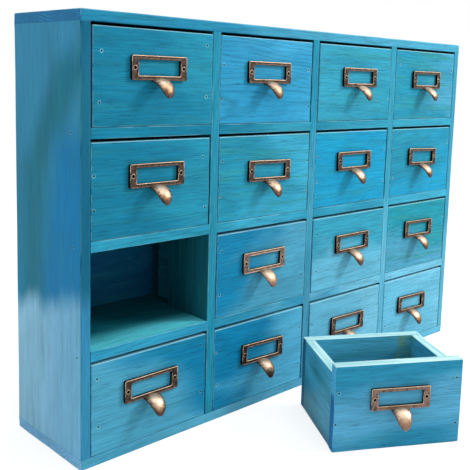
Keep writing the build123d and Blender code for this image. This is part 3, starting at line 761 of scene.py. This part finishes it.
def card_frame():
    """The frame: a section carried round the opening. Each point of the section is a distance
    in from the outline, or out from the window, and a height off the wood."""
    section = [
        ("out", 0.3, 0.1), ("out", 0.3, 1.4), ("out", 0.05, 1.45), ("out", 0.0, 1.6),
        ("out", 0.0, 2.9), ("out", 0.1, 3.25), ("out", 0.3, 3.42), ("out", 0.55, 3.42),
        ("out", 0.8, 3.22), ("out", 1.0, 3.0), ("out", 1.25, 2.95), ("in", 1.25, 2.95),
        ("in", 1.0, 3.0), ("in", 0.8, 3.22), ("in", 0.55, 3.42), ("in", 0.3, 3.42),
        ("in", 0.1, 3.25), ("in", 0.0, 2.9), ("in", 0.0, 1.6), ("in", 0.05, 1.45),
        ("in", 0.3, 1.4), ("in", 0.3, 0.1),
    ]
    rings, rubs_and_light = [], []
    for side, offset, z in section:
        if side == "out":
            ring = rounded(frame_w - 2 * offset, frame_h - 2 * offset,
                           max(frame_corner - offset, least_corner))
        else:
            ring = rounded(window_w + 2 * offset, window_h + 2 * offset, window_corner + offset,
                           window_up)
        rings.append(np.column_stack([ring, np.full(len(ring), z)]))
        # rims that face up are paler than those that face down: a painted highlight, as light from above
        # falls on them
        top_lit = np.sign(ring[:, 1]) * (np.abs(ring[:, 1]) > frame_h / 4)
        top_lit = top_lit if side == "out" else -top_lit
        on_rim = np.clip((z - face_z) / 0.4, 0, 1)
        # the walls below the face are painted near black: painted shade beside and under the frame,
        # together with the patina of the hollows
        rubs_and_light.append(on_rim * (0.65 + 0.45 * top_lit) + (1 - on_rim) * (0.2 if z > 2.92 else -0.4))
    return np.stack(rings), np.stack(rubs_and_light), np.full((len(rings), len(ring)), 0.15)


def close_grid(grid, both=True):
    """Quads of a grid that closes on itself round its second parameter, and its first if both."""
    index = np.arange(grid.shape[0] * grid.shape[1]).reshape(grid.shape[:2])
    after = np.roll(index, -1, axis=1)
    below, below_after = np.roll(index, -1, axis=0), np.roll(after, -1, axis=0)
    quads = np.stack([index, after, below_after, below], -1)
    if not both:
        quads = quads[:-1]
    return quads.reshape(-1, 4)


def finger_tongue():
    """The tongue: a flattened rounded section carried along an arc that leaves the frame's lower
    rail outwards and turns down. Its half width is read off between knots along the drop, and
    the middle stands proud of the sides by the sagitta of a circle."""
    rise, out, radius, thick, roundness = -25.55, 2.1, 16.6, 1.7, 20.0
    tip = [91.6, 93.0, 94.2, 95.1, 95.7, 96.05, 96.2]
    theta = np.radians(np.append(np.linspace(1.0, 90.0, 32), tip))
    mid = radius - thick / 2
    y, z = rise + mid * np.cos(theta), out + mid * np.sin(theta)
    drop = -frame_h / 2 - y
    knots = [-3.0, 0.0, 3.0, 5.5, 8.0, 10.5, 12.5, 13.8, 14.8, 15.4, 15.8, 15.95]
    widths = [9.5, 9.2, 8.6, 8.0, 7.2, 6.1, 4.9, 3.9, 2.8, 1.9, 0.9, 0.0]
    half = np.interp(drop, knots, widths)
    half[-1] = 0.0
    fold = np.linspace(0, 2 * np.pi, 33)[:-1]
    u, v = np.cos(fold), np.sin(fold)
    flat = np.sign(v) * np.abs(v) ** 0.6 * thick / 2
    side = half[:, None] * u[None, :]
    sag = roundness - np.sqrt(roundness**2 - side**2)
    depth = flat[None, :] * np.clip(half / 2.0, 0, 1)[:, None] - sag
    ny, nz = np.cos(theta)[:, None], np.sin(theta)[:, None]
    grid = np.stack([side, y[:, None] + depth * ny, z[:, None] + depth * nz], -1)
    # partly rubbed bright and partly a painted highlight along the middle of the outer face; dark at the
    # root, and painted shade round the edge and beneath
    stages = [-3.0, 0.5, 4.0, 8.0, 11.0, 13.5, 15.2, 16.0]
    along = np.interp(drop, stages, [0.95, 1.0, 0.95, 0.75, 0.5, 0.35, 0.4, 1.2])
    rub = along[:, None] * np.clip(v, 0, 1)[None, :] ** 0.45 * (1 - 0.45 * u**2)[None, :]
    rub -= 0.5 * (v < 0.05)[None, :]
    amber = np.interp(drop, stages, [0.0, 0.0, 0.1, 0.5, 0.9, 1.1, 0.9, 0.0])
    return grid, rub, np.broadcast_to(amber[:, None], rub.shape)


def pin_head(x):
    """A pin's head, a profile turned about the pin's axis: a fine raised ring, a groove round the
    head, and the head's low dome."""
    profile = np.array([(2.3, 2.9), (2.2, 3.06), (1.95, 3.14), (1.7, 3.08), (1.6, 2.98), (1.45, 2.97),
                        (1.1, 3.0), (0.75, 3.03), (0.35, 3.05), (0.0, 3.05)])
    rub = np.array([0.3, 0.75, 0.85, 0.4, -0.6, -0.6, -0.6, -0.6, -0.6, -0.6])
    steps = 24
    angle = np.linspace(0, 2 * np.pi, steps + 1)[:-1]
    r, a = np.meshgrid(profile[:, 0], angle, indexing="ij")
    height = np.repeat(profile[:, 1:], steps, axis=1)
    grid = np.stack([x + r * np.cos(a), r * np.sin(a), height], -1)
    return grid, np.repeat(rub[:, None], steps, axis=1), np.zeros(r.shape)


def bronze(name, hollows_and_shade, brown, golden, bright):
    """Antique bronze: nearly black in the hollows, brown on the flats, rubbed golden in patches
    and pale on the rims. The near black also stands for painted shade on the frame's walls and under
    the tongue, and the pale rims and tongue carry painted highlights as well as wear."""
    material = bpy.data.materials.new(name)
    material.use_nodes = True
    tree = material.node_tree
    shader = tree.nodes["Principled BSDF"]
    where = wire(tree, "ShaderNodeTexCoord", out=3)
    rub = wire(tree, "ShaderNodeAttribute", attribute_name="rub", out=2)
    amber = wire(tree, "ShaderNodeAttribute", attribute_name="amber", out=2)
    mottle = noise(tree, where, (420.0, 420.0, 420.0), 4.0, 0.7)
    patch = smooth_step(tree, noise(tree, where, (150.0, 150.0, 150.0), 2.0), 0.4, 0.62)
    # the rubbing value carries painted highlight and shade along with the wear
    worn = math_node(tree, "MULTIPLY_ADD", mottle, 1.5, math_node(tree, "SUBTRACT", rub, 0.75))
    lower = blend(tree, smooth_step(tree, worn, -0.2, 0.35), hollows_and_shade, brown)
    upper = blend(tree, math_node(tree, "MULTIPLY_ADD", patch, 0.3, amber, clamp=True), bright, golden)
    colour = blend(tree, smooth_step(tree, worn, 0.3, 1.0), lower, upper)
    tree.links.new(colour, shader.inputs["Base Color"])
    tree.links.new(math_node(tree, "MULTIPLY_ADD", mottle, 0.3, 0.32), shader.inputs["Roughness"])
    bump = tree.nodes.new("ShaderNodeBump")
    bump.inputs["Strength"].default_value = 0.2
    bump.inputs["Distance"].default_value = 0.0003
    tree.links.new(mottle, bump.inputs["Height"])
    tree.links.new(bump.outputs["Normal"], shader.inputs["Normal"])
    shader.inputs["Metallic"].default_value = 1.0
    return material


golden, bright = paint(172, 122, 70), paint(206, 186, 164)
bronze_finish = bronze("antique_bronze", paint(12, 10, 10), paint(84, 69, 61), golden, bright)
# a paler copy of the finish for two pulls, partly their own tone; on the loose drawer's pull, which
# faces the lens, it is also a painted reflection of the bright room
paler_finish = bronze("antique_bronze_paler", paint(36, 29, 27), paint(134, 111, 101), golden, bright)
shapes = [(*card_frame(), True), (*finger_tongue(), False)]
shapes += [(*pin_head(x), False) for x in (-pin_x, pin_x)]
pull_points, pull_quads, pull_rub_and_light, pull_amber, count = [], [], [], [], 0
for grid, rub, amber, both in shapes:
    pull_points.append(grid.reshape(-1, 3) * mm)
    pull_quads.append(close_grid(grid, both) + count)
    pull_rub_and_light.append(rub.ravel())
    pull_amber.append(amber.ravel())
    count += grid.shape[0] * grid.shape[1]
pull_points, pull_quads, pull_rub_and_light, pull_amber = map(
    np.concatenate, (pull_points, pull_quads, pull_rub_and_light, pull_amber))
for place in places:
    tag, body = drawer_names(place)
    turn, origin = drawer_place(place)
    _, across, above, slope = fitting[place]
    slope = math.radians(slope)
    along = np.array([math.cos(slope), 0, -math.sin(slope)])
    up = np.array([math.sin(slope), 0, math.cos(slope)])
    axes = np.stack([along, up, np.array([0, -1.0, 0])])
    on_front = pull_points @ axes + np.array([across, 0, pull_height + above]) * mm
    values = {"rub": pull_rub_and_light, "amber": pull_amber}
    pull = mesh_object(f"pull_{tag}", on_front @ turn.T + origin, pull_quads, values)
    finish = paler_finish if place in (loose, (3, 2)) else bronze_finish
    fit(pull, body, "pull_metal", finish, f"drawer_{tag}_pull")

# The room: a white table that runs back into a white ground, with soft light from a lamp before the
# right end and from overhead.
table_half = 6.0


def seen_straight(tree):
    """1 for what the camera sees straight or in a gloss, 0 for what only lights."""
    path = tree.nodes.new("ShaderNodeLightPath")
    return math_node(tree, "MAXIMUM", path.outputs["Is Camera Ray"], path.outputs["Is Glossy Ray"])


mesh = bpy.data.meshes.new("table_top")
mesh.from_pydata([(-table_half, -table_half, 0), (table_half, -table_half, 0),
                  (table_half, table_half, 0), (-table_half, table_half, 0)], [], [(0, 1, 2, 3)])
table = bpy.data.objects.new("table_top", mesh)
bpy.context.scene.collection.objects.link(table)
white = bpy.data.materials.new("white_table")
white.use_nodes = True
tree = white.node_tree
tree.nodes.clear()
direct = seen_straight(tree)
matte = tree.nodes.new("ShaderNodeBsdfDiffuse")
matte.inputs["Color"].default_value = (0.35, 0.35, 0.35, 1)
glow = tree.nodes.new("ShaderNodeEmission")
both = tree.nodes.new("ShaderNodeAddShader")
tree.links.new(matte.outputs[0], both.inputs[0])
tree.links.new(glow.outputs[0], both.inputs[1])
plain = tree.nodes.new("ShaderNodeBsdfDiffuse")
plain.inputs["Color"].default_value = (0.8, 0.8, 0.8, 1)
chosen = tree.nodes.new("ShaderNodeMixShader")
tree.links.new(direct, chosen.inputs[0])
tree.links.new(plain.outputs[0], chosen.inputs[1])
tree.links.new(both.outputs[0], chosen.inputs[2])
tree.links.new(math_node(tree, "MULTIPLY", direct, 0.78), glow.inputs["Strength"])
surface = tree.nodes.new("ShaderNodeOutputMaterial")
tree.links.new(chosen.outputs[0], surface.inputs[0])
mesh.materials.append(white)

world = bpy.data.worlds.new("white_room")
bpy.context.scene.world = world
world.use_nodes = True
tree = world.node_tree
tree.nodes.clear()
ambient = 0.66
strength = math_node(tree, "MULTIPLY_ADD", seen_straight(tree), 1.0 - ambient, ambient)
ground = wire(tree, "ShaderNodeBackground", (1, 1, 1, 1), strength)
tree.links.new(ground, tree.nodes.new("ShaderNodeOutputWorld").inputs[0])


def soft_box(name, toward, distance, size, watts):
    """A square area lamp, `distance` from the cabinet's middle, shining at it."""
    middle, toward = Vector((0, -0.06, 0.2)), Vector(toward).normalized()
    light = bpy.data.lights.new(name, "AREA")
    light.shape, light.size, light.energy = "SQUARE", size, watts
    lamp = bpy.data.objects.new(name, light)
    facing = toward.to_track_quat("Z", "Y").to_matrix().to_4x4()
    lamp.matrix_world = Matrix.Translation(middle + toward * distance) @ facing
    bpy.context.scene.collection.objects.link(lamp)


soft_box("key", (0.66, -0.54, 0.56), 1.9, 0.5, 23.8)
soft_box("overhead", (0.05, -0.2, 1.0), 1.7, 1.4, 12.0)

# Camera: where the photograph was taken from, found from the cabinet's own edges. Its axis passes
# through centre_px of the picture, which isn't the middle, so the lens is shifted by the difference.
focal_px, image_px = 747.4, 470.0
centre_px = (263.7, 177.2)
stand = (-0.6384, -0.6252, 0.3618)
film = 36.0
yaw, pitch, roll = (math.radians(a) for a in (44.79, 7.60, -1.83))
ahead = Vector((math.sin(yaw) * math.cos(pitch), math.cos(yaw) * math.cos(pitch), -math.sin(pitch)))
level = Vector((math.cos(yaw), -math.sin(yaw), 0))
down = ahead.cross(level)
right = level * math.cos(roll) + down * math.sin(roll)
under = down * math.cos(roll) - level * math.sin(roll)
lens = bpy.data.cameras.new("camera")
lens.sensor_width = film
lens.lens = focal_px / image_px * film
lens.shift_x = (image_px / 2 - centre_px[0]) / image_px
lens.shift_y = (centre_px[1] - image_px / 2) / image_px
camera = bpy.data.objects.new("camera", lens)
axes = Matrix((right, -under, -ahead)).transposed().to_4x4()
camera.matrix_world = Matrix.Translation(stand) @ axes
bpy.context.scene.collection.objects.link(camera)
bpy.context.scene.camera = camera
bpy.context.scene.view_settings.view_transform = "Standard"
